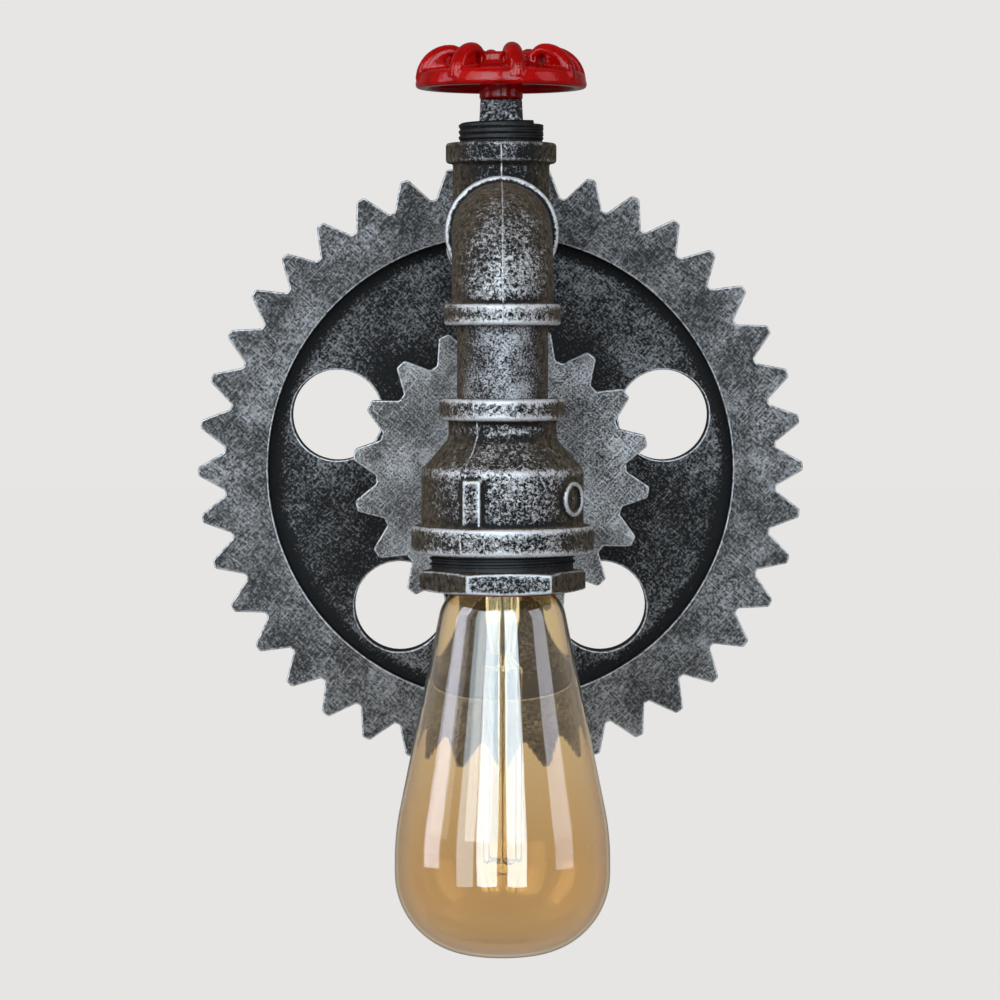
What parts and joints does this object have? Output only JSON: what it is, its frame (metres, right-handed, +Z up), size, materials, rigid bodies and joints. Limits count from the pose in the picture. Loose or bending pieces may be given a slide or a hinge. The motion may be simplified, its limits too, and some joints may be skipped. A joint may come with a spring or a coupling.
{
  "type": "pipe wall light",
  "caption": "Industrial wall light: gear wheels on a wall plate, cast pipe fittings with a red hand wheel, and a hanging screw-in filament bulb.",
  "frame": {"origin": "on the wall, midway between the strap's two wall slots, at the centre of the wall plate", "axes": "+X to the right seen from the front, +Y into the wall, +Z up; the light faces -Y"},
  "size_m": [0.1934, 0.161, 0.2741],
  "materials": {
    "gear_iron": "black casting with a silver dry-brushed rim",
    "pinion_iron": "grey casting, dry-brushed silver",
    "fitting_iron": "blackened casting speckled with silver",
    "pipe_iron": "brushed grey pipe with brown sides",
    "black_thread": "matt black",
    "black_steel": "satin black",
    "zinc_steel": "zinc plated",
    "red_enamel": "glossy red enamel",
    "brass": "plain brass",
    "solder": "solder",
    "earth_green": "green passivated",
    "white_plastic": "moulded",
    "porcelain": "glazed",
    "seal_rubber": "matt dark red",
    "wire_brown": "insulation",
    "wire_blue": "insulation",
    "wire_green": "insulation",
    "amber_glass": "amber tinted, polished",
    "clear_glass": "clear",
    "black_glass": "fused black glass, dense enough to weigh like plastic here",
    "support_wire": "nickel wire",
    "filament_wire": "carbonised filament"
  },
  "bodies": {
    "light": {"wall_strap": "zinc_steel", "canopy": "black_steel", "canopy_side_screws": "black_steel", "canopy_gear_screws": "zinc_steel", "ground_screw": "earth_green", "terminal_block": "white_plastic", "terminal_screws": "brass", "hollow_rod": "zinc_steel", "rod_washer": "zinc_steel", "rod_nuts": "zinc_steel", "tee_end_plug": "black_thread", "large_gear": "gear_iron", "small_gear": "pinion_iron", "gear_spacer": "black_steel", "gear_bolt": "black_steel", "gear_washers": "black_steel", "gear_nut": "black_steel", "tee": "fitting_iron", "front_nipple": "black_thread", "elbow": "fitting_iron", "drop_nipple": "pipe_iron", "square_plug": "black_thread", "wheel_washer": "zinc_steel", "wheel_screw": "zinc_steel", "reducer": "fitting_iron", "hex_bushing": "fitting_iron", "bushing_seal": "seal_rubber", "holder_body": "porcelain", "holder_screws": "brass", "holder_shell": "brass", "holder_contact": "brass", "wire_live": "wire_brown", "wire_neutral": "wire_blue", "wire_earth": "wire_green"},
    "hand_wheel": {"handwheel": "red_enamel"},
    "lamp_contact": {"bulb_contact": "solder"},
    "lamp": {"bulb_cap": "brass", "bulb_insulator": "black_glass", "bulb_glass": "amber_glass", "bulb_stem": "clear_glass", "bulb_support_top": "support_wire", "bulb_support_low": "support_wire", "bulb_filament": "filament_wire", "bulb_leads": "support_wire"}
  },
  "joints": [
    {"name": "wheel_spin", "type": "hinge", "parent": "light", "child": "hand_wheel", "pos_m": [0, -0.0688, 0.07], "axis": [0, 0, 1], "continuous": true},
    {"name": "lamp_feed", "type": "slide", "parent": "light", "child": "lamp_contact", "axis": [0, 0, -1], "range_m": [0, 0.0182]},
    {"name": "lamp_turn", "type": "hinge", "parent": "lamp_contact", "child": "lamp", "pos_m": [0, -0.129, -0.07], "axis": [0, 0, -1], "range_deg": [0, 1800]}
  ],
  "couplings": [
    {"joint": "lamp_feed", "follows": "lamp_turn", "m_per_rad": 0.00057757}
  ]
}
